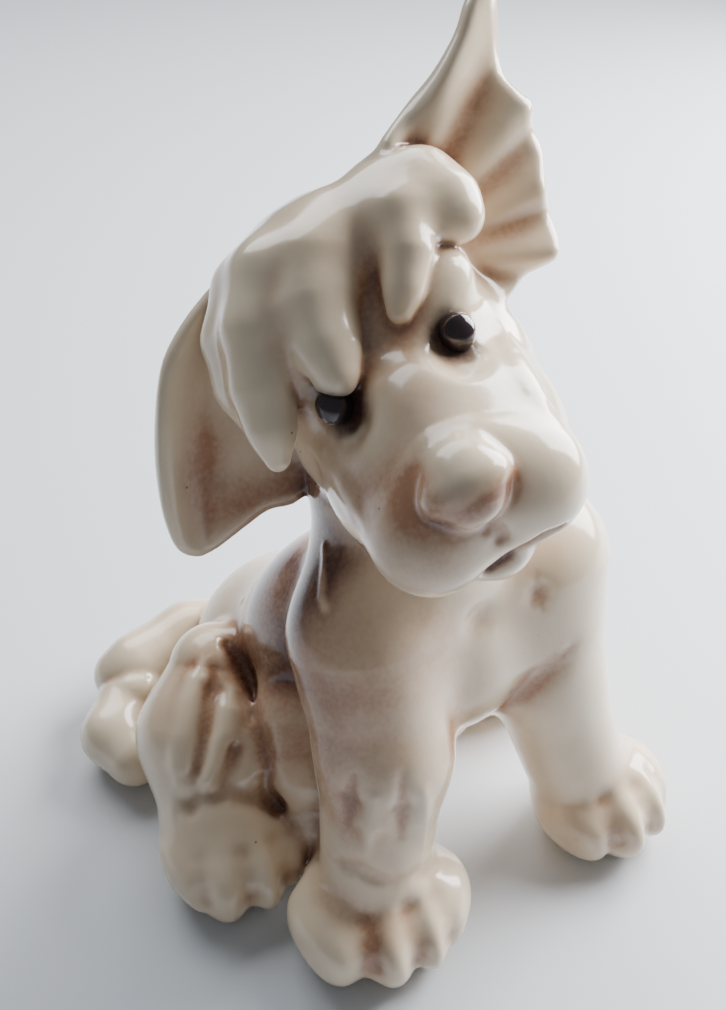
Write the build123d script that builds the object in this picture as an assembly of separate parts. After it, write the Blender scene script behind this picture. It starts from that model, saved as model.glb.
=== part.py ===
from build123d import *
import math
import os

# A seated puppy in glazed ceramic. +Z is up, +X is the puppy's left and -Y is the way its chest
# faces. Everything is in millimetres. The numbers below are measured from a point on the table
# between the fore and hind paws; at the end the whole puppy is moved so that the origin is the
# middle of its footprint.
# It is a hollow torso and a hollow head, with solid legs, tail, ears, hair locks, nose and eyes
# luted on. Where two pieces meet, one is cut to seat the other.

# --- Driving dimensions ---
WALL = 4.0                      # thickness of the cast walls
VENT_RADIUS = 4.0               # firing vent in the underside
VENT_Y = 24.0                   # the vent's place, back from the origin
NECK_BORE = 5.0                 # radius of the passage from the torso into the head
LINK_FIT = 0.97                 # the waist of a clay roll, against the balls it joins

HEAD_AT = (2.7, 2.0, 102.6)     # middle of the skull
HEAD_TURN = -35.5               # degrees: the face turns to the puppy's right
HEAD_NOD = -20.7                # degrees: the nose lifts
HEAD_COCK = -28.2               # degrees: the crown leans to the puppy's right

EYE_SPREAD = 10.3               # each eye's distance from the middle of the face
EYE_FORWARD = 20.4
EYE_UP = 2.9
EYE_RADIUS = 3.2

NOSE_AT = (0, -38.3, -10.7)     # from the middle of the skull
NOSE_RADII = (6.9, 5.4, 5.3)    # across, along and up
CROWN_AT = (-1, 6, 8.6)
CROWN_RADIUS = 21.2

PAW_RADIUS = 9.2
PAW_SPREAD = 3.4                # each side of a paw's middle
TOE_RADIUS = 4.3
TOE_SPREAD = 6.1                # distance between neighbouring toes
TOE_REACH = 9.2                 # the toes' distance ahead of the paw's middle

EAR_THICKNESS = 3.6
OVERSIZE = 400.0                # side of the block that trims everything at the table


# --- Ways of shaping clay ---
HEAD_FRAME = Pos(*HEAD_AT) * Rot(0, 0, HEAD_TURN) * Rot(HEAD_NOD, 0, 0) * Rot(0, HEAD_COCK, 0)
RIGHT = -1
LEFT = 1


def link(start, end, thick, thin):
    """The waist between two balls of a roll."""
    span = Vector(*end) - Vector(*start)
    foot = Plane(origin=start, z_dir=span)
    base = (Align.CENTER, Align.CENTER, Align.MIN)
    if math.isclose(thick, thin):
        return foot * Cylinder(thick * LINK_FIT, span.length, align=base)
    return foot * Cone(thick * LINK_FIT, thin * LINK_FIT, span.length, align=base)


def roll(points, radii):
    """A roll of clay through the points, as thick at each one as its radius."""
    balls = [Pos(*point) * Sphere(radius) for point, radius in zip(points, radii)]
    links = [link(*ends) for ends in zip(points, points[1:], radii, radii[1:])]
    return balls[0].fuse(*balls[1:], *links)


def mirrored(points, side):
    """The same points on the side given, +1 for the left and -1 for the right."""
    return [(side * x, y, z) for x, y, z in points]


def above(level):
    """A block that holds everything above a level."""
    base = (Align.CENTER, Align.CENTER, Align.MIN)
    return Pos(0, 0, level) * Box(OVERSIZE, OVERSIZE, OVERSIZE, align=base)


def paw(middle, turn):
    """A paw with four toes, turned about Z."""
    sole = [(-PAW_SPREAD, 0, 0), (0, PAW_SPREAD, 0.5), (PAW_SPREAD, 0, 0)]
    pad = roll(sole, [PAW_RADIUS, PAW_RADIUS + 0.6, PAW_RADIUS])
    toes = []
    for place in (-1.5, -0.5, 0.5, 1.5):
        side = place * TOE_SPREAD
        front = 1.4 * abs(place) - TOE_REACH
        toes.append(roll([(side * 0.8, -1.0, 1.5), (side, front, -2.4)], [TOE_RADIUS + 0.7, TOE_RADIUS]))
    return Pos(*middle) * Rot(0, 0, turn) * pad.fuse(*toes)


# --- Torso ---
TRUNK = [(0, 27, 18.5), (0, 14, 41), (0.5, -6, 63), (1.5, -3.5, 78), (4.5, 1, 90)]
TRUNK_RADII = [21, 19.5, 18, 15.5, 16.5]
CHEST = (2, -14, 48)
CHEST_RADIUS = 13.5
FLANK = [(13, 9, 18), (14, -2, 20)]
FLANK_RADII = [11, 10.5]


def torso_outside():
    bulges = [Pos(*CHEST) * Sphere(CHEST_RADIUS)]
    for side in (RIGHT, LEFT):
        bulges.append(roll(mirrored(FLANK, side), FLANK_RADII))
    return roll(TRUNK, TRUNK_RADII).fuse(*bulges) & above(0)


def torso_inside():
    """The hollow of the torso, with the vent below it and the passage to the head above it."""
    hollow = roll(TRUNK[:3], [radius - WALL for radius in TRUNK_RADII[:3]]) & above(WALL)
    vent = Pos(0, VENT_Y, WALL) * Cylinder(VENT_RADIUS, 4 * WALL)
    passage = roll(TRUNK[2:], [NECK_BORE] * 3)
    return hollow.fuse(vent, passage)


# --- Legs and tail ---
def right_foreleg():
    leg = roll([(-14, -11, 60), (-18, -20, 38), (-22, -23.5, 20), (-24, -26, 11)], [13, 10.5, 9.8, 9])
    return leg.fuse(paw((-25.5, -29, 8.5), turn=-24)) & above(0)


def left_foreleg():
    leg = roll([(21, -15, 60), (20, -23, 37), (22, -31, 20), (24, -34, 11)], [15.5, 10.5, 9.6, 9])
    return leg.fuse(paw((25.8, -38.6, 8.5), turn=-8)) & above(0)


def hind_leg(side):
    leg = roll(mirrored([(25, 23, 27), (28, 17.5, 20), (32, 10, 13.5), (36, 3, 10)], side), [11.5, 14, 12.5, 9.5])
    return leg.fuse(paw((side * 37, 0, 8.5), turn=side * 22)) & above(0)


def tail():
    """A fat tail that comes round the rump and curls forward at its tip."""
    points = [(0, 45, 11), (-13, 49.5, 16), (-25, 50.5, 17.5), (-36, 46.5, 13), (-41, 38, 8.5), (-41, 30, 7.5)]
    return roll(points, [8, 8.6, 8.3, 7, 7.6, 6.6])


# --- Head, in its own frame: the face looks along -Y ---
SKULL = [(0, 6.5, 4.5), (0, -6.5, 0), (0, -17, -6.5)]
SKULL_RADII = [22, 17.5, 12.5]


def head_outside():
    bulges = [Pos(0, -23.5, -26.5) * Sphere(8)]
    for side in (RIGHT, LEFT):
        bulges.append(roll(mirrored([(9, -6.5, -9), (8, -30, -18.5)], side), [10, 9.5]))
        bulges.append(Pos(side * 9, -14, 10) * Sphere(7.5))
    return HEAD_FRAME * roll(SKULL, SKULL_RADII).fuse(*bulges)


def head_inside():
    """The hollow of the skull."""
    return HEAD_FRAME * roll(SKULL[:2], [radius - WALL for radius in SKULL_RADII[:2]])


def eye(side):
    return HEAD_FRAME * Pos(side * EYE_SPREAD, -EYE_FORWARD, EYE_UP) * Sphere(EYE_RADIUS)


def nose():
    return HEAD_FRAME * Pos(*NOSE_AT) * scale(Sphere(1), by=NOSE_RADII)


# --- Hair: a cap over the crown and five locks that fall from it ---
def crown_hair():
    return HEAD_FRAME * Pos(*CROWN_AT) * Sphere(CROWN_RADIUS)


LOCKS = {
    "side_lock": ([(-5, 2, 21), (-13, -0.5, 20), (-18.6, -4, 15.5), (-21.5, -7, 9.5), (-23, -9, 3.7)],
                  [6.2, 5.9, 5, 3.8, 2.2]),
    "outer_lock": ([(-2.5, -3, 22), (-8.7, -7, 21), (-14.2, -11.4, 16), (-18.2, -14.5, 9.4), (-21.8, -17.4, -0.2)],
                   [6.4, 6.4, 5.6, 4.4, 1.9]),
    "inner_lock": ([(3.4, -4, 21), (-1.7, -10, 19), (-5.2, -14.5, 15.2), (-7.3, -20.6, 7)], [6.6, 6.4, 5.4, 3]),
    "thin_lock": ([(11, -5, 22), (12, -12, 20), (10, -17, 16), (4.5, -20, 9.8)], [5.4, 4.6, 3.6, 1.8]),
    "stub_lock": ([(12.4, 0, 22.4), (17, -5.5, 21), (19, -11.6, 15.3)], [6.4, 5.4, 3.5]),
}


def lock(name):
    points, radii = LOCKS[name]
    return HEAD_FRAME * roll(points, radii)


# --- Ears: leaves of clay, stiffened by a rolled edge ---
def leaf(outline, middle, slope):
    """A flat leaf. The outline is (x, z) in the head's frame, seen from the front.

    The leaf passes through middle, and slope is how far it goes back per unit across and up.
    """
    facing = Vector(slope[0], -1, slope[1]).normalized()
    across = Vector(1, slope[0], 0).normalized()
    plane = Plane(origin=middle, x_dir=across, z_dir=facing)
    on_plane = []
    for x, z in outline:
        depth = middle[1] + slope[0] * (x - middle[0]) + slope[1] * (z - middle[2])
        flat = plane.to_local_coords(Vector(x, depth, z))
        on_plane.append((flat.X, flat.Y))
    face = make_face(Spline(on_plane, periodic=True))
    return plane * Pos(0, 0, -EAR_THICKNESS / 2) * extrude(face, EAR_THICKNESS)


def raised_ear():
    """The left ear stands up and out like a fan, with three folds and a wavy edge."""
    outline = [(9, 20), (21, 31.5), (32.5, 36.5), (41, 41), (39.5, 33), (37, 28.5),
               (38.5, 22), (37, 16), (33.5, 9), (32.5, 3.5), (25, 0.4), (14.5, -2.2), (9, 6.5)]
    fan = leaf(outline, middle=(22.5, -2.2, 13.5), slope=(0.16, 0.158))
    front_edge = roll([(11, -3.4, 23.5), (21.5, -2.2, 30), (31.5, 0.3, 35.5), (39, 2.5, 39)], [4.5, 3.4, 2.5, 1.8])
    folds = [roll([(20, -4.5, 17), (35.5, -1.7, 21.5)], [1.8, 2.7]),
             roll([(18, -5.5, 13), (32, -3.6, 12.5)], [2, 2.9])]
    root = Pos(13.5, 0, 13.5) * Sphere(9)
    return HEAD_FRAME * fan.fuse(front_edge, *folds, root)


def dropped_ear():
    """The right ear hangs out and down, dished, with a thick outer edge."""
    outline = [(-10, 15.5), (-15, 23), (-21.5, 22.5), (-29, 19), (-39, 8), (-45, -5),
               (-46, -10.5), (-42, -13.5), (-34.5, -13), (-24.5, -13), (-15.5, -9)]
    dish = leaf(outline, middle=(-29, 2.9, 3.4), slope=(0.03, -0.02))
    outer_edge = roll([(-19, 1.7, 19.5), (-28, 1.1, 16), (-37, 0.9, 7.5), (-42, 0.6, -4.5), (-42.5, 1.1, -10.5)],
                      [3.4, 3.4, 3.4, 3.4, 2.7])
    root = Pos(-14.5, -1.1, 4.5) * Sphere(9)
    return HEAD_FRAME * dish.fuse(outer_edge, root)


# --- Seating each piece on the ones it is luted to ---
HEAD_TRIM = {
    "crown_hair": crown_hair,
    "outer_lock": lambda: lock("outer_lock"),
    "inner_lock": lambda: lock("inner_lock"),
    "thin_lock": lambda: lock("thin_lock"),
    "stub_lock": lambda: lock("stub_lock"),
    "side_lock": lambda: lock("side_lock"),
    "raised_ear": raised_ear,
    "dropped_ear": dropped_ear,
}
LEGS = {
    "right_foreleg": right_foreleg,
    "left_foreleg": left_foreleg,
    "right_hind_leg": lambda: hind_leg(RIGHT),
    "left_hind_leg": lambda: hind_leg(LEFT),
}


def seated(form, seats):
    """The form with the pieces that it is luted to cut out of it, one after another."""
    for seat in seats:
        form = form.cut(seat)
    return form


def build():
    """Every piece by its name, cut where it meets the pieces that seat it."""
    head_form = head_outside()
    torso_form = torso_outside()
    hollow = [torso_inside(), head_inside()]
    pieces = {"nose": nose(), "right_eye": eye(RIGHT), "left_eye": eye(LEFT)}
    face = list(pieces.values())
    pieces["head"] = seated(head_form, hollow + face)
    pieces["torso"] = seated(torso_form, [head_form] + hollow)

    seats = [head_form, torso_form] + face
    for name, shape in HEAD_TRIM.items():
        form = shape()
        pieces[name] = seated(form, seats)
        seats.append(form)

    seats = [torso_form]
    for name, shape in LEGS.items():
        form = shape()
        pieces[name] = seated(form, seats)
        seats.append(form)
    pieces["tail"] = seated(tail(), [torso_outside()])
    return pieces


def centred(pieces):
    """The same pieces, moved so that the origin is the middle of the footprint."""
    boxes = [piece.bounding_box() for piece in pieces.values()]
    middle_x = (min(box.min.X for box in boxes) + max(box.max.X for box in boxes)) / 2
    middle_y = (min(box.min.Y for box in boxes) + max(box.max.Y for box in boxes)) / 2
    return {name: Pos(-middle_x, -middle_y, 0) * piece for name, piece in pieces.items()}


os.makedirs("parts", exist_ok=True)
for name, piece in centred(build()).items():
    export_step(piece, f"parts/{name}.step")
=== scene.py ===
import math

import bpy
import numpy as np
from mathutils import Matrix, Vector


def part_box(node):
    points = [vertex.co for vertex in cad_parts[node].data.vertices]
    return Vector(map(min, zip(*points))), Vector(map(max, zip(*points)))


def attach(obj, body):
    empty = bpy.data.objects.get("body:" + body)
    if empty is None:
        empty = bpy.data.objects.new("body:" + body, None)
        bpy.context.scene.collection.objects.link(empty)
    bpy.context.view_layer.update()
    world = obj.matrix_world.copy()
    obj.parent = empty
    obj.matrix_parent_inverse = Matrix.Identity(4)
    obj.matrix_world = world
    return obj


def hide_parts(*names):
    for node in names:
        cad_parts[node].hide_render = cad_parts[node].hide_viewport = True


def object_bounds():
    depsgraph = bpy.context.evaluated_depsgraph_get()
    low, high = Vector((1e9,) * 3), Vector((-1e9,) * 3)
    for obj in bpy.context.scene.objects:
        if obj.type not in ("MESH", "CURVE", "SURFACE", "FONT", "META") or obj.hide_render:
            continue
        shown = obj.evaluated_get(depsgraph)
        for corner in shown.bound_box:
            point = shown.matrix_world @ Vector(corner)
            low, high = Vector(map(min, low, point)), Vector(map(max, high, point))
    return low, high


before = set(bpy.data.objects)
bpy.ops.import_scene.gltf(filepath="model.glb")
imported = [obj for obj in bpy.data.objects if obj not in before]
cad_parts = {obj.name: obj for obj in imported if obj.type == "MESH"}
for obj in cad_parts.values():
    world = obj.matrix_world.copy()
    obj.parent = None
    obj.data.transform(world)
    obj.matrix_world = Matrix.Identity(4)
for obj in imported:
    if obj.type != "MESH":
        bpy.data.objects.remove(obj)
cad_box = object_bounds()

import openvdb
from mathutils import Matrix, Vector


# ---------------------------------------------------------------------------------------------
# Torso. Cast hollow in slip, with rump, belly, chest and a short thick neck. The other pieces are
# luted to it, so the clay is worked here as distances on a fine grid: soft clay can then be
# pressed together, and one skin runs over every join once all the pieces are on.
# ---------------------------------------------------------------------------------------------
GRAIN = 0.45  # mm between the points of the grid that the clay is worked on
REACH = 8.0             # mm of air around a form in which its distances are still true
FAR = 40.0              # the distance written where nothing is near

CREAM = (0.86, 0.73, 0.54)
TAN = (0.44, 0.22, 0.12)
UMBER = (0.11, 0.036, 0.018)


def standing(node, right=0.0, back=0.0):
    """Measure in mm from near the middle of a node's footprint, with the table as height 0."""
    low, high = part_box(node)
    return np.array([(low.x + high.x) * 500 + right, (low.y + high.y) * 500 + back, 0.0]), np.eye(3)


def spin(about_x, about_y, about_z):
    """The axes of something turned by three angles in degrees, about X first and Z last."""
    turn = Matrix.Identity(3)
    for angle, axis in ((about_x, "X"), (about_y, "Y"), (about_z, "Z")):
        turn = Matrix.Rotation(math.radians(angle), 3, axis) @ turn
    return np.array(turn)


def soft_min(first, second, soft):
    """The nearer of two surfaces, with the corner between them filled over a width of soft mm."""
    if soft <= 0:
        return np.minimum(first, second)
    blend = np.maximum(soft - np.abs(first - second), 0) / soft
    return np.minimum(first, second) - blend * blend * soft / 4


def egg(place, middle, radii, lean=(0, 0, 0)):
    """An egg of clay with three radii."""
    origin, axes = place
    centre = origin + axes @ np.array(middle, float)
    axes = axes @ spin(*lean)
    radii = np.array(radii, float)
    half = np.sqrt(((axes * radii) ** 2).sum(1))

    def distance(x, y, z):
        x, y, z = x - centre[0], y - centre[1], z - centre[2]
        near = far = 0
        for axis, radius in zip(axes.T, radii):
            along = (x * axis[0] + y * axis[1] + z * axis[2]) / radius
            near = near + along ** 2
            far = far + (along / radius) ** 2
        near = np.sqrt(near)
        return near * (near - 1) / (np.sqrt(far) + 1e-6)

    return centre - half, centre + half, distance


def roll(place, points, radii, soft=0.0):
    """A roll of clay through the points, as thick at each one as its radius."""
    origin, axes = place
    line = [origin + axes @ np.array(point, float) for point in points]
    low = np.min([point - radius for point, radius in zip(line, radii)], 0)
    high = np.max([point + radius for point, radius in zip(line, radii)], 0)

    def distance(x, y, z):
        total = None
        for start, end, thick, thin in zip(line, line[1:], radii, radii[1:]):
            span = end - start
            dx, dy, dz = x - start[0], y - start[1], z - start[2]
            share = np.clip((dx * span[0] + dy * span[1] + dz * span[2]) / (span @ span), 0, 1)
            gap = np.sqrt((dx - share * span[0]) ** 2 + (dy - share * span[1]) ** 2
                          + (dz - share * span[2]) ** 2) - (thick + (thin - thick) * share)
            total = gap if total is None else soft_min(total, gap, soft)
        return total

    return low, high, distance


def line(place, points):
    """A thin line through the points, to mark the clay along. The mark fades out at both ends."""
    middles = [tuple((a + b) / 2 for a, b in zip(*pair)) for pair in zip(points, points[1:])]
    dense = [point for pair in zip(points, middles) for point in pair] + [points[-1]]
    return roll(place, dense, [-2.0] + [0.1] * (len(dense) - 2) + [-2.0])


class Clay:
    """A lump of clay. The steps that shape it are kept and worked when work is called."""

    def __init__(self):
        self.steps = []
        self.marks = []
        self.paint = []
        self.grid = None

    def add(self, form, soft=0.0):
        self.steps.append(("add", form, soft))
        return self

    def cut(self, form, soft=0.0):
        self.steps.append(("cut", form, soft))
        return self

    def mark(self, form, width, lift):
        """Once luted, raise the skin (or press it in, where lift is negative) along a thin form."""
        self.marks.append((form, width, lift))
        return self

    def dab(self, layer, form, width, amount):
        """Brush a layer of colour on around a form: mostly stain, and painted shade where a dab stands in
        for shadow.
        """
        self.paint.append((layer, form, width, amount))
        return self

    def window(self, low, high):
        """The part of the grid between two corners, and the coordinates of its points."""
        first = np.maximum(np.floor(low / GRAIN).astype(int), self.first)
        last = np.minimum(np.ceil(high / GRAIN).astype(int) + 1, self.first + self.grid.shape)
        part = tuple(slice(a - o, b - o) for a, b, o in zip(first, last, self.first))
        x, y, z = (np.arange(a, b, dtype=np.float32) * np.float32(GRAIN) for a, b in zip(first, last))
        return part, (x[:, None, None], y[None, :, None], z[None, None, :])

    def work(self):
        solid = [form for kind, form, _ in self.steps if kind == "add"]
        low = np.min([form[0] for form in solid], 0) - REACH
        high = np.max([form[1] for form in solid], 0) + REACH
        self.first = np.floor(low / GRAIN).astype(int)
        self.grid = np.full(np.ceil(high / GRAIN).astype(int) + 1 - self.first, FAR, np.float32)
        for kind, (form_low, form_high, distance), setting in self.steps:
            part, at = self.window(form_low - REACH, form_high + REACH)
            here = self.grid[part]
            if 0 in here.shape:
                continue
            gap = distance(*at)
            if kind == "add":
                self.grid[part] = soft_min(here, gap, setting)
            else:
                self.grid[part] = -soft_min(-here, gap, setting)
        return self

    def press(self, form, width, lift):
        """Carry out a mark on the finished grid."""
        low, high, distance = form
        part, at = self.window(low - 2.2 * width, high + 2.2 * width)
        gap = np.maximum(distance(*at), 0) / width
        self.grid[part] = self.grid[part] - lift * np.exp(-gap * gap)

    def at(self, points):
        """The distance at each point, in mm, read between the grid's points."""
        spot = points / GRAIN - self.first
        inside = ((spot >= 0) & (spot < np.array(self.grid.shape) - 1.001)).all(1)
        value = np.full(len(points), FAR)
        spot = spot[inside]
        base = np.floor(spot).astype(int)
        share = spot - base
        total = 0
        for corner in np.ndindex(2, 2, 2):
            weight = np.prod(np.where(corner, share, 1 - share), axis=1)
            total = total + weight * self.grid[tuple((base + corner).T)]
        value[inside] = total
        return value

    def slope(self, points, step=GRAIN):
        """The direction in which the distance grows, at each point."""
        rise = [self.at(points + step * axis) - self.at(points - step * axis) for axis in np.eye(3)]
        return np.stack(rise, 1) / (2 * step)


PIECES = {}


def piece(node, join=0.0, lump="body"):
    """Start a piece that stands for a CAD node: its clay, how softly it is luted on, and its object."""
    thing = bpy.data.objects.new("glazed_" + node, bpy.data.meshes.new("glazed_" + node))
    bpy.context.collection.objects.link(thing)
    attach(thing, "root")
    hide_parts(node)
    clay = Clay()
    PIECES[node] = {"thing": thing, "clay": clay, "join": join, "lump": lump}
    return clay


def glaze(name, cream, tan, umber, gloss=0.10):
    """Clear glaze over an ivory slip that is stained brown wherever the form is hollow. The same brown
    layers also carry painted shade on the parts turned from the light.
    """
    material = bpy.data.materials.new(name)
    material.use_nodes = True
    nodes, links = material.node_tree.nodes, material.node_tree.links
    shader = nodes["Principled BSDF"]
    shader.inputs["Roughness"].default_value = gloss + 0.12
    shader.inputs["IOR"].default_value = 1.5
    shader.inputs["Coat Weight"].default_value = 0.55
    shader.inputs["Coat Roughness"].default_value = gloss
    shader.inputs["Coat IOR"].default_value = 1.5

    def cloud(scale, detail, low, high):
        """A soft cloudy pattern between two values."""
        noise = nodes.new("ShaderNodeTexNoise")
        noise.inputs["Scale"].default_value = scale
        noise.inputs["Detail"].default_value = detail
        links.new(place.outputs["Object"], noise.inputs["Vector"])
        spread = nodes.new("ShaderNodeMapRange")
        spread.inputs["From Min"].default_value = 0.3
        spread.inputs["From Max"].default_value = 0.7
        spread.inputs["To Min"].default_value = low
        spread.inputs["To Max"].default_value = high
        links.new(noise.outputs["Fac"], spread.inputs["Value"])
        return spread.outputs["Result"]

    def sum_of(kind, first, second):
        step = nodes.new("ShaderNodeMath")
        step.operation = kind
        step.use_clamp = True
        for socket, value in zip(step.inputs, (first, second)):
            if isinstance(value, float):
                socket.default_value = value
            else:
                links.new(value, socket)
        return step.outputs[0]

    def painted(name):
        layer = nodes.new("ShaderNodeAttribute")
        layer.attribute_name = name
        return layer.outputs["Fac"]

    def over(below, colour, amount):
        """A colour laid over another."""
        mix = nodes.new("ShaderNodeMix")
        mix.data_type = "RGBA"
        links.new(amount, mix.inputs["Factor"])
        if isinstance(below, tuple):
            mix.inputs["A"].default_value = (*below, 1)
        else:
            links.new(below, mix.inputs["A"])
        mix.inputs["B"].default_value = (*colour, 1)
        return mix.outputs["Result"]

    place = nodes.new("ShaderNodeTexCoord")
    patchy = cloud(90, 4, 0.65, 1.15)
    fine = cloud(1100, 3, 0.88, 1.12)
    wash = sum_of("MULTIPLY", sum_of("MULTIPLY", painted("wash"), patchy), fine)
    stain = sum_of("MULTIPLY", sum_of("MULTIPLY", painted("stain"), patchy), fine)
    specks = nodes.new("ShaderNodeTexVoronoi")
    specks.inputs["Scale"].default_value = 120
    links.new(place.outputs["Object"], specks.inputs["Vector"])
    dot = nodes.new("ShaderNodeMapRange")
    dot.inputs["From Min"].default_value = 0.030
    dot.inputs["From Max"].default_value = 0.018
    dot.inputs["To Max"].default_value = 0.75
    links.new(specks.outputs["Distance"], dot.inputs["Value"])

    colour = over(cream, tuple(c * t for c, t in zip(cream, (0.90, 0.80, 0.70))), cloud(45, 3, 0.0, 0.7))
    # Tan wash and umber stain, which on the right flank and shoulder also serve as painted shade.
    colour = over(colour, tan, wash)
    colour = over(colour, umber, stain)
    colour = over(colour, (0.030, 0.016, 0.024), sum_of("MULTIPLY", painted("smudge"), fine))
    colour = over(colour, umber, dot.outputs["Result"])
    links.new(colour, shader.inputs["Base Color"])

    ripple = nodes.new("ShaderNodeBump")
    ripple.inputs["Strength"].default_value = 0.085
    ripple.inputs["Distance"].default_value = 0.0004
    links.new(cloud(260, 2, 0.0, 1.0), ripple.inputs["Height"])
    links.new(ripple.outputs["Normal"], shader.inputs["Normal"])
    return material


body_glaze = glaze("body_glaze", CREAM, TAN, UMBER)
torso_place = standing("torso", back=2.3)
torso = piece("torso")
torso.add(egg(torso_place, (0, 14.5, 18), (22, 20.5, 21)))
torso.add(egg(torso_place, (0, -0.5, 40), (20, 16, 26), (30, 0, 0)), 8)
torso.add(egg(torso_place, (1, -20.5, 63), (21, 15, 20), (20, 0, 0)), 8)
torso.add(egg(torso_place, (4, -28, 46), (14, 12, 17), (15, 0, 0)), 8)
for side in (-1, 1):
    torso.add(egg(torso_place, (14 * side, -9, 17), (10.5, 14.5, 17)), 8)
torso.add(roll(torso_place, [(0, -17.5, 70), (2, -15.5, 82), (4.5, -11.5, 91)], [15.5, 15.5, 16], 3), 6)
flank = [(-16, -8, 28), (-20, -14, 20), (-22, -17, 12), (-21, -17, 5)]
torso.add(roll(torso_place, flank, [9, 7.5, 6.5, 6], 2), 6)

# The creases between flank and haunch, and the folds of the chest.
for side in (-1, 1):
    furrow = [(21, 13.4, 37.6), (21, 5, 35), (21.3, -2, 30), (22.5, -8.6, 26), (23, -13.4, 15.6)]
    second = [(19, -7, 34.8), (20, -12.7, 30), (21.8, -15.4, 22.7), (22.2, -14.8, 13)]
    for points, width, depth in ((furrow, 1.8, 1.0), (second, 1.8, 1.2)):
        fold = line(torso_place, [(side * x, y, z) for x, y, z in points])
        torso.mark(fold, width, -depth)
        torso.dab("stain", fold, 2, 0.4)
        torso.dab("wash", fold, 6, 0.5)
torso.mark(line(torso_place, [(-1, -36.5, 67), (1, -37, 63)]), 3, -1)
torso.mark(line(torso_place, [(12.2, -38, 67), (12.6, -40, 61.5)]), 2.2, -1)
elbow_fold = line(torso_place, [(17.2, -44, 51), (11.7, -42, 45.7), (6.5, -39, 39)])
torso.mark(elbow_fold, 3, -0.8)

# Two runs where the glaze was thick.
for run in ([(-14.8, -13.8, 77), (-17, -17, 75), (-21, -21, 72), (-22.5, -24.5, 71)],
            [(-9.9, 16, 40), (-14, 14.4, 37.6)]):
    torso.mark(line(torso_place, run), 0.7, 0.4)

# Brown brushed over the right flank and shoulder, and touched on the chest. Over the right flank, shoulder
# and back, which are turned from the window, the heavy brown is mostly painted shade laid over a real wash;
# the touches on the chest are stain.
torso.dab("wash", elbow_fold, 4, 0.6)
for layer, points, width, amount in (
        ("wash", [(11.5, -37, 70), (12.4, -39, 64), (12.6, -40, 58)], 4, 0.1),
        ("wash", [(-13, 4, 53), (-18, 0, 48), (-19.5, -5, 43)], 12, 0.9),
        ("wash", [(-17, -13, 72), (-24, -19, 68), (-27, -22, 62)], 9, 0.8),
        ("wash", [(-8, 8, 60), (-14, -2, 62), (-16, -8, 76)], 10, 1.6),
        ("wash", [(-10, -35, 70), (-8, -38, 62)], 6, 0.3),
        ("stain", [(-13, 4, 53), (-18, -3, 50), (-22, -12, 58), (-18, -12, 74)], 11, 2.0),
        ("stain", [(-20, -11, 30), (-22, -16, 22), (-23, -18, 12)], 6, 0.5)):
    torso.dab(layer, line(torso_place, points), width, amount)


# ---------------------------------------------------------------------------------------------
# Forelegs. Two solid rolls of clay with a shoulder at the top and a broad paw at the foot, luted
# to the chest with the join smoothed away. The four toes are cut with a tool and stained between.
# ---------------------------------------------------------------------------------------------
def paw(clay, place, middle, heading, pad, gaps):
    """A paw that points along its heading, in degrees from straight ahead, with grooves at the gaps.

    The pad is given by its three radii, and each gap by its distance to the left of the paw's middle.
    """
    origin, axes = place
    own = (origin + axes @ np.array(middle, float), axes @ spin(0, 0, heading))
    wide, long, tall = pad
    clay.add(egg(own, (0, 0.3, -0.2), (wide, long, tall)), 5)
    edges = [-0.9 * wide, *gaps, 0.9 * wide]
    for first, last in zip(edges, edges[1:]):
        side = (first + last) / 2
        half = (last - first) / 2 + 0.2
        reach = long * math.sqrt(1 - (side / wide) ** 2)
        toe = egg(own, (side, 5.8 - reach, -1.3), (half, 7.7, min(7.4, half + 3)), (12, 0, -1.4 * side))
        clay.add(toe, 1.8)
    for side in gaps:
        reach = long * math.sqrt(1 - (side / wide) ** 2)
        ridge = [(side * (0.84 + 0.16 * math.cos(turn)), -(reach + 1.6) * math.cos(turn),
                  (tall + 0.6) * math.sin(turn)) for turn in (1.1, 0.8, 0.5, 0.2, -0.1)]
        clay.mark(line(own, ridge), 1.9, -1.7)
        clay.dab("wash", line(own, ridge), 1.8, 0.15)


right_foreleg = piece("right_foreleg", join=6)
right_place = standing("right_foreleg", right=0.9)
shin = [(8.6, 9.9, 60), (5.4, 1.2, 40), (0.6, -2.0, 20)]
right_foreleg.add(roll(right_place, shin, [13.5, 11.5, 10.2], 4))
wrist_fold = [(-9, -0.5, 24), (-7.5, -6.2, 26), (-3, -11, 22.5), (0.5, -12, 22.5), (9.6, -12, 15.5)]
for points, width, lift in (([(-5.3, -2.6, 46), (-7, -2.8, 35)], 2, -1.3),
                            ([(0.4, -8.5, 47), (-1, -10, 33)], 2, -1.3),
                            ([(-4, -6.4, 43), (-6, -6.8, 30)], 2, 1.0),
                            ([(3.3, -10.7, 43), (3.3, -11.4, 28)], 2, 0.9),
                            (wrist_fold, 1.8, -0.7)):
    right_foreleg.mark(line(right_place, points), width, lift)
for claw in ([(-11, -12.3, 13.3), (-6.6, -15.7, 14.5)], [(-1.5, -19, 10.8), (-0.2, -19, 10.6)],
             [(-11, -15, 10), (-10, -15.5, 10)]):
    right_foreleg.dab("stain", line(right_place, claw), 1.2, 0.5)
    right_foreleg.dab("wash", line(right_place, claw), 3, 0.6)
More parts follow.
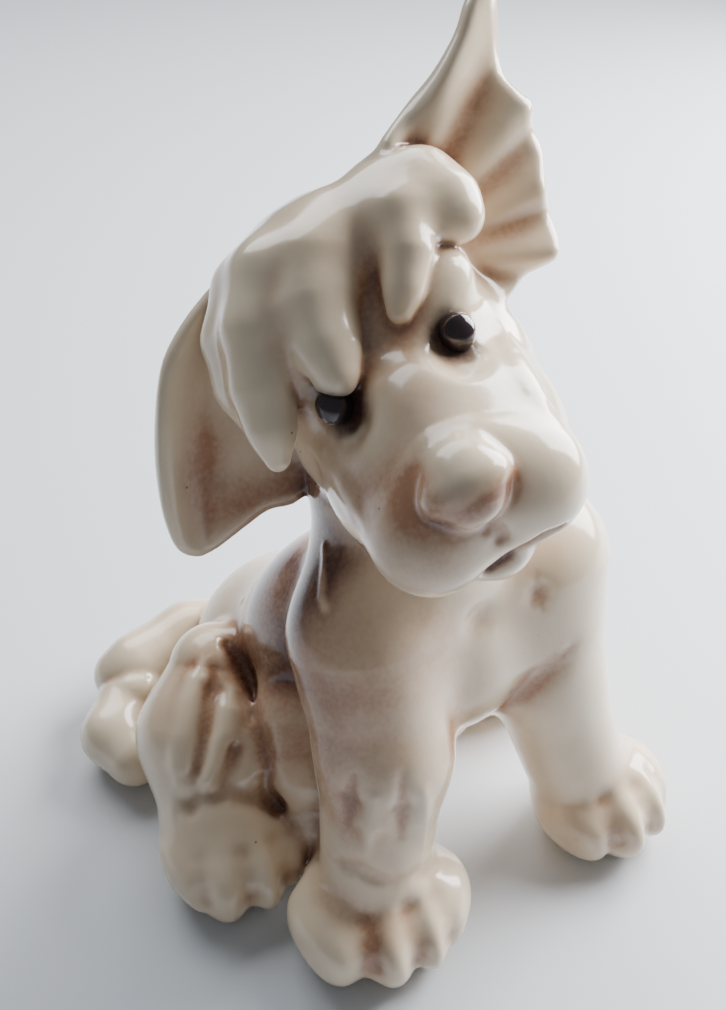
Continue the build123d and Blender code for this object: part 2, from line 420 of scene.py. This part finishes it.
# Brown on the right foreleg. The long strokes down the outer side and over the top, where the leg runs into
# the flank turned from the window, are mostly painted shade over a light wash.
for layer, points, width, amount in (("wash", [(13.8, -6.6, 47), (9.4, -10.3, 42)], 3.5, 0.7),
                                     ("wash", [(-8, -4, 40), (-8, -6, 12)], 8, 0.2),
                                     ("wash", [(0, -4, 66), (-5, 1, 54), (-6, 0, 42)], 13, 0.7),
                                     ("stain", [(-4, 2, 64), (-7, 3, 52), (-8, 2, 38)], 8, 0.4)):
    right_foreleg.dab(layer, line(right_place, points), width, amount)
paw(right_foreleg, right_place, (-1.6, -5.6, 8.5), -24, (17.4, 13.4, 9.6), (-6.2, 3.2, 10.6))

left_foreleg = piece("left_foreleg", join=6)
left_place = standing("left_foreleg", right=-1.8, back=1.3)
left_foreleg.add(roll(left_place, [(0.5, 9.5, 59), (-0.4, 0.8, 36.5), (1, -6.7, 19.5)], [16, 11, 10], 4))
for claw in ([(-8.5, -17.5, 11.5), (-8, -19, 9)], [(-2, -24, 11), (-2, -25, 9)]):
    left_foreleg.dab("wash", line(left_place, claw), 4, 0.6)
paw(left_foreleg, left_place, (4.6, -13.1, 8.5), -8, (14.2, 12.6, 9.6), (-6.4, 2.4, 9.4))


# ---------------------------------------------------------------------------------------------
# Hind legs. A flattened ball of clay for each haunch, with the foot pushed out ahead of it. They
# are luted to the rump, and a deep crease is left where the haunch meets the flank.
# ---------------------------------------------------------------------------------------------
HAUNCH = [(8, 10.5, 29), (0.5, 4.5, 20.5), (-3.6, -4.5, 13)]
# Ridges and grooves of fur, for the right haunch: points, width and how far the clay rises.
FUR = (([(3.4, 7.6, 37), (-3, 3.5, 34), (-8.5, -1, 29.5), (-12.3, -4, 23)], 2.2, 1.3),
       ([(3.9, 4.8, 35.6), (-1.5, -0.3, 33.3), (-7, -4.5, 28.5), (-10.8, -6.5, 23.3)], 1.8, -1.4),
       ([(4.7, 0.4, 33.5), (-1.3, -5.2, 30.3), (-5.5, -7.3, 27), (-10.4, -8.4, 22.4)], 2.1, 1.5),
       ([(0.4, -6, 29.5), (-3.6, -8.4, 26.4), (-8, -10.5, 23)], 1.8, -1.6),
       ([(3.4, -4.3, 30.6), (2.1, -8.7, 26.2), (0.3, -12, 22)], 2.1, 1.4),
       ([(7.4, -2, 30.7), (6, -8.2, 25.4), (4.2, -12.5, 19)], 1.8, -1.0),
       ([(-14.4, -6.4, 19), (-10.4, -8.3, 22.6), (-5.7, -11.5, 22.8), (-1.2, -14.5, 20),
         (3.4, -17.5, 14.7)], 1.9, -1.9))
for name, side in (("right_hind_leg", -1), ("left_hind_leg", 1)):
    leg = piece(name, join=3)
    place = standing(name, right=-4.7 * side, back=3.9)
    leg.add(roll(place, [(-side * x, y, z) for x, y, z in HAUNCH], [9.3, 13, 12.3], 4))
    leg.dab("wash", line(place, [(-3 * side, 8, 30), (1 * side, 0, 22)]), 10, 0.4)
    for points, width, lift in FUR:
        leg.mark(line(place, [(-side * x, y, z) for x, y, z in points]), width, lift)
    gaps = (-8 * side, -0.4 * side, 9 * side)
    paw(leg, place, (7.2 * side, -13, 8.5), 22 * side, (13.8, 12, 9.3), sorted(gaps))


# ---------------------------------------------------------------------------------------------
# Tail. One fat roll laid round the rump to the right, its tip folded forward into a curl.
# ---------------------------------------------------------------------------------------------
tail = piece("tail", join=2)
tail_place = standing("tail")
tail.add(roll(tail_place, [(20.4, 4.9, 9), (8.4, 8.6, 11), (-5, 9.2, 11)], [8, 8, 7.8], 3))
tail.add(egg(tail_place, (-6.5, 8.6, 9.8), (9.3, 7.4, 7.6), (0, 0, -42)), 1)
tail.add(egg(tail_place, (-9.6, 3, 12.5), (5, 4, 3.5), (0, 0, -42)), 1.2)
tail.add(roll(tail_place, [(-12, 4, 8), (-18.5, -0.5, 7.5), (-18.5, -8, 7)], [7, 6.6, 6], 2), 0.8)


# ---------------------------------------------------------------------------------------------
# Head. Cast hollow, with cheeks, brows, two fat lips and a chin pressed on. It is measured in its
# own frame, found from the eyes and the nose: X to its left, Y to its back and Z to its crown.
# ---------------------------------------------------------------------------------------------
EYE_TO_NOSE = math.radians(37.2)    # the nose lies this far below the way the face looks
EYES_FORWARD = 20.4                 # the eyes, from the middle of the skull
EYES_UP = 2.9


def centre_of(node):
    low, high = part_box(node)
    return np.array((low + high) * 500)


def head_place():
    """The middle of the skull and the head's own axes."""
    right, left, tip = (centre_of(node) for node in ("right_eye", "left_eye", "nose"))
    between = (right + left) / 2
    across = (left - right) / np.linalg.norm(left - right)
    ahead = tip - between
    ahead = ahead - across * (ahead @ across)
    ahead = ahead / np.linalg.norm(ahead)
    over = np.cross(across, ahead)
    back = over * math.sin(EYE_TO_NOSE) - ahead * math.cos(EYE_TO_NOSE)
    up = -over * math.cos(EYE_TO_NOSE) - ahead * math.sin(EYE_TO_NOSE)
    return between + back * EYES_FORWARD - up * EYES_UP, np.stack([across, back, up], 1)


skull = head_place()
head = piece("head", join=2)
head.add(egg(skull, (0, 6.7, 4.5), (20.7, 22.4, 22.4)))
head.add(roll(skull, [(0, -6, -2.5), (0, -20, -7), (0, -30, -11)], [14.5, 10.8, 8.8], 4), 8)
for side in (-1, 1):
    head.add(roll(skull, [(9.5 * side, -6, -8), (8.2 * side, -18, -13), (7.6 * side, -30, -17.5)],
                  [10.5, 9.6, 9.2], 4), 7)
    head.add(egg(skull, (10 * side, -13, 9.5), (7, 5, 5)), 7)
head.add(roll(skull, [(0, -14, -22), (-0.5, -26.5, -25)], [9, 6], 2), 4)
mouth = line(skull, [(10.4, -34.2, -25), (6.2, -36, -23.6), (2.5, -34.4, -24), (-1.4, -33.2, -25),
                     (-4.7, -33, -25.4)])
head.mark(mouth, 1.0, -1.0)
head.dab("wash", mouth, 1.8, 0.5)
inside = line(skull, [(1.5, -33.2, -25.2), (-1.3, -32.7, -25.8), (-3.6, -32.5, -26)])
head.mark(inside, 1.5, -1.2)
head.dab("stain", inside, 1.3, 0.8)
cleft = line(skull, [(0, -38.8, -16.4), (0.7, -38, -18.8), (0.7, -37, -21.2)])
head.mark(cleft, 1.6, -0.9)
head.dab("wash", cleft, 1.8, 0.35)
head.dab("wash", line(skull, [(-8.5, -36, -8.6), (-10.3, -38.8, -16.6), (-15.8, -25, -8.5)]), 8, 0.75)
head.dab("wash", line(skull, [(3.4, -19.4, 7.4), (1, -27, 2.4), (0.5, -32.6, -2.2)]), 5, 0.3)
head.dab("wash", line(skull, [(2, -12, 18), (0, -15, 14)]), 5, 0.35)
for side in (-1, 1):
    cheek = [(17 * side, -13, -2.4), (15.5 * side, -22.7, -6.2), (15 * side, -30, -11)]
    head.mark(line(skull, cheek), 2.2, 0.6)
    head.cut(egg(skull, (10.5 * side, -24.6, 2.7), (4.4, 5, 4)), 3)
    lid = [(6.6 * side, -22.4, 3.4), (8.2 * side, -21.8, 5.9), (10.8 * side, -20.8, 6.7),
           (13.8 * side, -18.4, 5.4)]
    head.mark(line(skull, lid), 1.1, 0.5)
    ledge = [(7.4 * side, -23.8, 0.2), (10 * side, -23.6, -1.1), (13 * side, -21, -0.8)]
    head.mark(line(skull, ledge), 1.0, 0.35)
    head.dab("smudge", egg(skull, (10.3 * side, -20.4, 3.1), (2.9, 2.6, 3)), 1.4, 0.65)
    head.dab("stain", egg(skull, (10.3 * side, -20.4, 2.9), (3.2, 3, 3.2)), 2.2, 0.5)


# ---------------------------------------------------------------------------------------------
# Nose. A rounded wedge of clay pressed on between the lips and washed brown underneath.
# ---------------------------------------------------------------------------------------------
nose = piece("nose", join=1.3)
nose.add(egg(skull, (0, -38.6, -10.6), (6.7, 5.2, 4.2), (-18, 0, 0)))
nose.add(egg(skull, (0.5, -36, -7.6), (4.6, 4.2, 3.2)), 3)
nose.add(egg(skull, (0, -39.5, -13.2), (4.2, 3.4, 3)), 2)
under = [(-7, -38, -7), (-6.5, -41, -10), (-3, -43, -13), (2, -44, -13.5), (6, -42, -13)]
nose.dab("wash", line(skull, under), 3.6, 1.8)
tip = [(-6.5, -40, -10.5), (-3, -43, -13), (3, -43.5, -13), (6, -42, -12.5)]
nose.dab("stain", line(skull, tip), 3, 1.2)


# ---------------------------------------------------------------------------------------------
# Hair. A cap of clay over the crown, and five locks rolled to a point and laid down over the brow.
# Their ends stand clear of the face.
# ---------------------------------------------------------------------------------------------
crown = piece("crown_hair", lump="hair")
crown.add(egg(skull, (-1.5, 6.2, 9), (21, 20.4, 19.2)))
crown.add(egg(skull, (6, -5, 20.6), (14, 8.6, 6.2)), 5)
parting = [(-4.9, -12.5, 22.5), (-8.1, -14, 20.1), (-12.1, -15, 16.7), (-14.4, -15.5, 14.1)]
crown.mark(line(skull, parting), 2.2, -0.5)
LOCKS = {
    "side_lock": ([(-5, 2, 21), (-13, -0.5, 20), (-18.6, -4, 15.5), (-21.5, -7, 9.5), (-23, -9, 3.7)],
                  [6, 5.6, 4.8, 3.6, 2]),
    "outer_lock": ([(-2.5, -3, 22), (-8.7, -7, 21), (-14.1, -11.4, 16), (-18.1, -14.5, 9.4),
                    (-20.2, -16.4, 4), (-21.8, -17.4, -0.3)], [6, 6, 5.4, 4.2, 2.9, 1.8]),
    "inner_lock": ([(3.3, -4, 21), (-1.7, -10, 19), (-5.2, -14.4, 15.2), (-6.8, -18.4, 10.2),
                    (-7.4, -20.8, 6.8)], [6.4, 6.2, 5.2, 4.0, 2.9]),
    "thin_lock": ([(11, -5, 22), (12, -11.8, 19.6), (9.9, -16, 15.5), (6.9, -18.2, 12), (4.5, -19.3, 9.6)],
                  [5, 4, 2.8, 2, 1.6]),
    "stub_lock": ([(13, 0, 22), (17, -5.5, 21), (18.8, -9.6, 17.5), (19, -11.8, 15.2)], [6, 5, 4.2, 3.4]),
}
for name, (points, radii) in LOCKS.items():
    piece(name, join=4, lump="hair").add(roll(skull, points, radii, 4))
for strand in ([(-15.9, -5, 21.4), (-20.3, -7, 15.6), (-23.3, -9, 8.9)],
               [(-15.4, -8, 18.2), (-19.7, -10, 12.4), (-22.7, -12, 5.8)]):
    PIECES["side_lock"]["clay"].mark(line(skull, strand), 0.9, -0.8)


# ---------------------------------------------------------------------------------------------
# Ears. Each is a leaf of rolled clay. The left one is folded like a fan and stands up, the right
# one hangs, dished, with its outer edge rolled over. Both are stained tan inside.
# ---------------------------------------------------------------------------------------------
def leaf(place, outline, depth, thickness):
    """A leaf inside a smooth outline of (x, z) points. Depth says how far back it lies there."""
    origin, axes = place
    knots = np.array(outline, float)
    before, after, beyond = np.roll(knots, 1, 0), np.roll(knots, -1, 0), np.roll(knots, -2, 0)
    edge = []
    for t in (0, 0.25, 0.5, 0.75):
        edge.append(0.5 * (2 * knots + (after - before) * t
                           + (2 * before - 5 * knots + 4 * after - beyond) * t ** 2
                           + (3 * knots - before - 3 * after + beyond) * t ** 3))
    edge = np.stack(edge, 1).reshape(-1, 2)
    corners = np.array([(x, y, z) for x in (edge[:, 0].min(), edge[:, 0].max()) for y in (-12, 12)
                        for z in (edge[:, 1].min(), edge[:, 1].max())]) @ axes.T + origin

    def distance(x, y, z):
        x, y, z = x - origin[0], y - origin[1], z - origin[2]
        x, y, z = (x * axis[0] + y * axis[1] + z * axis[2] for axis in axes.T)
        near = np.full(x.shape, 1e6, np.float32)
        inside = np.zeros(x.shape, bool)
        for (ax, az), (bx, bz) in zip(edge, np.roll(edge, -1, 0)):
            share = np.clip(((x - ax) * (bx - ax) + (z - az) * (bz - az))
                            / ((bx - ax) ** 2 + (bz - az) ** 2), 0, 1)
            near = np.minimum(near, (x - ax - share * (bx - ax)) ** 2 + (z - az - share * (bz - az)) ** 2)
            crosses = (az > z) != (bz > z)
            inside ^= crosses & (x < (bx - ax) * (z - az) / (bz - az + 1e-9) + ax)
        near = np.where(inside, -np.sqrt(near), np.sqrt(near))
        half = thickness(x, z)
        off = 0.85 * (y - depth(x, z))
        return np.sqrt(np.maximum(near + half, 0) ** 2 + off ** 2) - half

    return corners.min(0), corners.max(0), distance


def fan_edge(x, z):
    """0 along the front edge of the raised ear, growing away from it in mm."""
    return (x - 13.4) * 0.42 - (z - 29)


def fan_depth(x, z):
    angle = np.degrees(np.arctan2(z - 13.4, x - 9))
    out = np.clip((np.hypot(x - 9, z - 13.4) - 9) / 13.4, 0, 1.2)
    folds = -1.15 * np.cos(np.radians((angle - 19) * 15)) * out
    return 0.16 * x + 0.158 * z - 9.1 + folds + 2.2 * np.clip(fan_edge(x, z) / 9, 0, 1)


def fan_thickness(x, z):
    rim = np.clip(1 - fan_edge(x, z) / 5.6, 0, 1) * np.clip((38 - x) / 15.7, 0, 1)
    return 1.9 + 1.35 * rim


raised_ear = piece("raised_ear", join=1.7)
fan = [(9, 22.4), (14.1, 28.8), (21.2, 31.6), (26.9, 33.6), (32.7, 36.7), (37, 40.2), (40.6, 40.7),
       (41.5, 38.2), (39.4, 33), (37.2, 28.3), (37.6, 24.6), (38.5, 22.1), (37.2, 18.6), (36.8, 15.1),
       (34.5, 11.5), (33.5, 7.8), (32.4, 3.5), (30.6, 0.7), (28.2, 0.2), (25.1, 0.4), (22.4, -0.4),
       (19, -0.9), (14.6, -3.4), (9, 4.5)]
raised_ear.add(leaf(skull, fan, fan_depth, fan_thickness))
raised_ear.add(egg(skull, (13.4, 2.2, 13.4), (7.8, 5.6, 13.4)), 4.5)
upper_pleats = [(30.8, 1, 28), (26, -0.3, 25), (32.6, -1.4, 22.8)]
raised_ear.dab("wash", line(skull, upper_pleats), 8, 0.12)
lower_pleats = [(32, -1, 14.7), (26.8, -3.3, 12.8), (27, -3.2, 6.6), (22.5, -3.8, 8.5)]
raised_ear.dab("wash", line(skull, lower_pleats), 7, 0.12)


def dish_in(x, z):
    """0 at the outer edge of the hanging ear, 1 well inside it."""
    return np.clip((x + 33.6 + (15.1 - z) * 0.62) / 10, 0, 1)


def dish_depth(x, z):
    return 0.2 + 3.6 * np.sin(dish_in(x, z) * math.pi / 2)


def dish_thickness(x, z):
    return 1.8 + 1.35 * np.clip(1 - 1.2 * dish_in(x, z), 0, 1)


dropped_ear = piece("dropped_ear", join=1.2)
dish = [(-10, 15.7), (-14.9, 23.5), (-21.4, 22.8), (-29.2, 19.4), (-33.9, 15.1), (-39.2, 8), (-42.9, 1.5),
        (-45.5, -4.8), (-46.5, -9.9), (-44.8, -13.2), (-41.9, -13.9), (-38.4, -13.6), (-34.4, -13.1),
        (-30.2, -12.8), (-24.6, -14), (-15.7, -9)]
dropped_ear.add(leaf(skull, dish, dish_depth, dish_thickness))
dropped_ear.add(egg(skull, (-15.7, 3.4, 4.5), (5.6, 5.6, 13.4)), 4.5)
inner_face = [(-31, 1.7, 2.7), (-35.8, 1, 0), (-34.6, 1.7, -7.3), (-30, 1.7, -8)]
dropped_ear.dab("wash", line(skull, inner_face), 5.5, 0.45)
dropped_ear.dab("stain", line(skull, [(-34, 1.7, -1), (-35, 1.7, -6)]), 2.5, 0.25)


# ---------------------------------------------------------------------------------------------
# Luting and fettling. The pieces are pressed together in order with slip, the foot is ground flat
# on the table, and the one skin that results is shared out again to the piece under it.
# ---------------------------------------------------------------------------------------------
SKIRT = 0.8             # mm that the open edge of a piece is turned inward


def lute(pieces):
    """One lump from several pieces, with each join as soft as its piece asks."""
    whole = Clay()
    whole.first = np.min([part["clay"].first for part in pieces], 0)
    last = np.max([part["clay"].first + part["clay"].grid.shape for part in pieces], 0)
    whole.grid = np.full(last - whole.first, FAR, np.float32)
    for part in pieces:
        clay = part["clay"]
        spot = tuple(slice(a - o, a - o + n) for a, o, n in zip(clay.first, whole.first, clay.grid.shape))
        whole.grid[spot] = soft_min(whole.grid[spot], clay.grid, part["join"])
    return whole


def skin_of(clay):
    """The corners, in mm, and the four-sided faces of a lump's surface."""
    volume = openvdb.FloatGrid(background=FAR)
    volume.copyFromArray(clay.grid)
    corners, triangles, quads = volume.convertToPolygons(0.0, 0.0)
    return (corners + clay.first) * GRAIN, quads.astype(int)


def share_out(corners, faces, pieces):
    """The number of the piece that each face belongs to, with ragged edges evened out."""
    middles = corners[faces].mean(1)
    owner = np.argmin([part["clay"].at(middles) for part in pieces], 0)
    for _ in range(4):
        votes = np.zeros((len(corners), len(pieces)), np.float32)
        np.add.at(votes, (faces.ravel(), np.repeat(owner, 4)), 1)
        owner = np.argmax(votes[faces].sum(1), 1)
    return owner


def close(corners, faces, inward):
    """Turn each open edge of a piece inward and cap it inside the join."""
    edges = np.concatenate([faces[:, [k, (k + 1) % 4]] for k in range(4)])
    _, index, count = np.unique(np.sort(edges, 1), axis=0, return_index=True, return_counts=True)
    rim = edges[index[count == 1]]
    if not len(rim):
        return corners, []
    members, rim = np.unique(rim, return_inverse=True)
    rim = rim.reshape(-1, 2)
    loop = np.arange(len(members))
    for _ in range(len(members)):
        joined = np.minimum(loop[rim[:, 0]], loop[rim[:, 1]])
        before = loop.copy()
        np.minimum.at(loop, rim[:, 0], joined)
        np.minimum.at(loop, rim[:, 1], joined)
        loop = loop[loop]
        if (loop == before).all():
            break
    inner = corners[members] + SKIRT * inward[members]
    first = len(corners)
    names = np.unique(loop)
    middles = np.array([inner[loop == name].mean(0) + 1.5 * inward[members[loop == name]].mean(0)
                        for name in names])
    spots = np.concatenate([corners, inner, middles])
    caps = []
    for a, b in rim.tolist():
        middle = first + len(members) + int(np.searchsorted(names, loop[a]))
        caps.append((members[b], members[a], first + a, first + b))
        caps.append((first + b, first + a, middle))
    return spots, [tuple(int(k) for k in cap) for cap in caps]


skin_pieces = list(PIECES.values())
for part in skin_pieces:
    part["clay"].work()
body, hair = (lute([part for part in skin_pieces if part["lump"] == lump]) for lump in ("body", "hair"))
whole = lute([{"clay": body, "join": 0}, {"clay": hair, "join": 0.8}])
for part in skin_pieces:
    for mark in part["clay"].marks:
        whole.press(*mark)
height = (whole.first[2] + np.arange(whole.grid.shape[2])) * GRAIN
whole.grid = np.maximum(whole.grid, -height[None, None, :]).astype(np.float32)
corners, faces = skin_of(whole)
owner = share_out(corners, faces, skin_pieces)
normals = whole.slope(corners)
normals /= np.linalg.norm(normals, axis=1, keepdims=True)


def fill_of(clay, radius):
    """How much clay lies within a radius of each point: half on a flat, more in a hollow."""
    part = np.clip(0.5 - clay.grid / GRAIN, 0, 1)
    steps = max(1, round(radius / GRAIN))
    for _ in range(2):
        for axis in range(3):
            total = np.cumsum(part, axis=axis, dtype=np.float64)
            size = part.shape[axis]
            upper = np.minimum(np.arange(size) + steps, size - 1)
            lower = np.arange(size) - steps - 1
            top = np.take(total, upper, axis=axis)
            bottom = np.take(total, np.maximum(lower, 0), axis=axis)
            shape = [1, 1, 1]
            shape[axis] = size
            bottom = bottom * (lower >= 0).reshape(shape)
            part = ((top - bottom) / (2 * steps + 1)).astype(np.float32)
    result = Clay()
    result.first, result.grid = clay.first, part
    return result


# Stain is brushed on in broad patches and wiped, so it is left in the hollows and leaves the ridges. Some
# broad patches are painted shade on the side turned from the window, and they are wiped the same way.
near_fill = fill_of(whole, 0.9).at(corners) - 0.5
wide_fill = fill_of(whole, 2.2).at(corners) - 0.5
brushed = {"stain": np.zeros(len(corners)),
           "wash": np.full(len(corners), 0.12),
           "smudge": np.zeros(len(corners))}
for part in skin_pieces:
    for layer, (form_low, form_high, distance), width, amount in part["clay"].paint:
        near = ((corners > form_low - 3 * width) & (corners < form_high + 3 * width)).all(1)
        gap = np.maximum(distance(*corners[near].T), 0) / width
        brushed[layer][near] += amount * np.exp(-gap * gap)
wiped = np.clip(1.3 + 5 * near_fill + 5 * wide_fill, 0.5, 1.7)
pooled = {"stain": np.maximum(2.5 * near_fill + 1.5 * wide_fill, -0.12) - 0.22,
          "wash": np.maximum(2 * near_fill + 2.5 * wide_fill, -0.08)}
layers = {"stain": np.clip(brushed["stain"] * wiped + pooled["stain"], 0, 1),
          "wash": np.clip(brushed["wash"] * wiped + pooled["wash"], 0, 1),
          "smudge": np.clip(brushed["smudge"], 0, 1)}

for number, part in enumerate(skin_pieces):
    thing = part["thing"]
    mine = faces[owner == number]
    used, mine = np.unique(mine, return_inverse=True)
    mine = mine.reshape(-1, 4)
    spots, caps = close(corners[used], mine, -normals[used])
    mesh = thing.data
    mesh.from_pydata((spots / 1000).tolist(), [], mine.tolist() + caps)
    extra = len(spots) - len(used)
    for name, values in layers.items():
        layer = mesh.attributes.new(name, "FLOAT", "POINT")
        layer.data.foreach_set("value", np.append(values[used], np.zeros(extra)).astype(np.float32))
    mesh.polygons.foreach_set("use_smooth", np.ones(len(mesh.polygons), bool))
    mesh.normals_split_custom_set_from_vertices(np.concatenate([normals[used], np.zeros((extra, 3))]))
    mesh.materials.append(body_glaze)
    mesh.update()


# ---------------------------------------------------------------------------------------------
# Eyes. Two dark beads of glaze, pressed into their sockets.
# ---------------------------------------------------------------------------------------------
eye_glaze = glaze("eye_glaze", (0.03, 0.016, 0.02), (0.05, 0.02, 0.02), (0.01, 0.005, 0.005), 0.03)
for name, side in (("right_eye", -1), ("left_eye", 1)):
    bead = piece(name)
    thing = PIECES[name]["thing"]
    bead.add(egg(skull, (10.3 * side, -19.4, 2.8), (2.8, 2.5, 3), (0, 14 * side, 0)))
    bead.work()
    spots, quads = skin_of(bead)
    thing.data.from_pydata((spots / 1000).tolist(), [], quads.tolist())
    thing.data.polygons.foreach_set("use_smooth", np.ones(len(quads), bool))
    thing.data.materials.append(eye_glaze)


# ---------------------------------------------------------------------------------------------
# Table, window light and camera.
# ---------------------------------------------------------------------------------------------
def table_top():
    mesh = bpy.data.meshes.new("table")
    half = 1.5
    top = [(-half, -half, 0), (half, -half, 0), (half, half, 0), (-half, half, 0)]
    mesh.from_pydata(top, [], [(0, 1, 2, 3)])
    material = bpy.data.materials.new("pale_table")
    material.use_nodes = True
    material.node_tree.nodes["Principled BSDF"].inputs["Base Color"].default_value = (0.70, 0.73, 0.77, 1)
    material.node_tree.nodes["Principled BSDF"].inputs["Roughness"].default_value = 0.5
    mesh.materials.append(material)
    table = bpy.data.objects.new("table", mesh)
    bpy.context.collection.objects.link(table)


table_top()


def softbox(name, at, toward, size, power, colour):
    lamp = bpy.data.lights.new(name, "AREA")
    lamp.shape = "RECTANGLE"
    lamp.size, lamp.size_y = size
    lamp.energy = power
    lamp.color = colour
    holder = bpy.data.objects.new(name, lamp)
    holder.location = at
    holder.rotation_euler = (Vector(toward) - Vector(at)).to_track_quat("-Z", "Y").to_euler()
    bpy.context.collection.objects.link(holder)


low, high = cad_box
middle = (Vector(low) + Vector(high)) / 2
softbox("window", (0.42, -0.04, 0.27), middle, (0.36, 0.42), 10.5, (0.98, 0.98, 1.0))
softbox("sky", (0.15, 0.45, 0.50), middle, (0.6, 0.4), 4.0, (0.95, 0.97, 1.0))

world = bpy.data.worlds.new("room")
bpy.context.scene.world = world
world.use_nodes = True
world.node_tree.nodes["Background"].inputs["Color"].default_value = (0.75, 0.82, 0.92, 1)
world.node_tree.nodes["Background"].inputs["Strength"].default_value = 0.2

lens = bpy.data.cameras.new("camera")
lens.sensor_fit = "VERTICAL"
lens.sensor_height = 36
lens.lens = 42.77
lens.clip_start = 0.01
camera = bpy.data.objects.new("camera", lens)
heading, dip = math.radians(-42), math.radians(40)
right = Vector((math.cos(heading), math.sin(heading), 0))
ahead = Vector((-math.sin(heading), math.cos(heading), 0))
looking = ahead * math.cos(dip) - Vector((0, 0, 1)) * math.sin(dip)
above = ahead * math.sin(dip) + Vector((0, 0, 1)) * math.cos(dip)
spot = middle + Vector((-0.109, -0.1195, 0.1311))
camera.matrix_world = Matrix(((right.x, above.x, -looking.x, spot.x), (right.y, above.y, -looking.y, spot.y),
                              (right.z, above.z, -looking.z, spot.z), (0, 0, 0, 1)))
bpy.context.collection.objects.link(camera)
bpy.context.scene.camera = camera
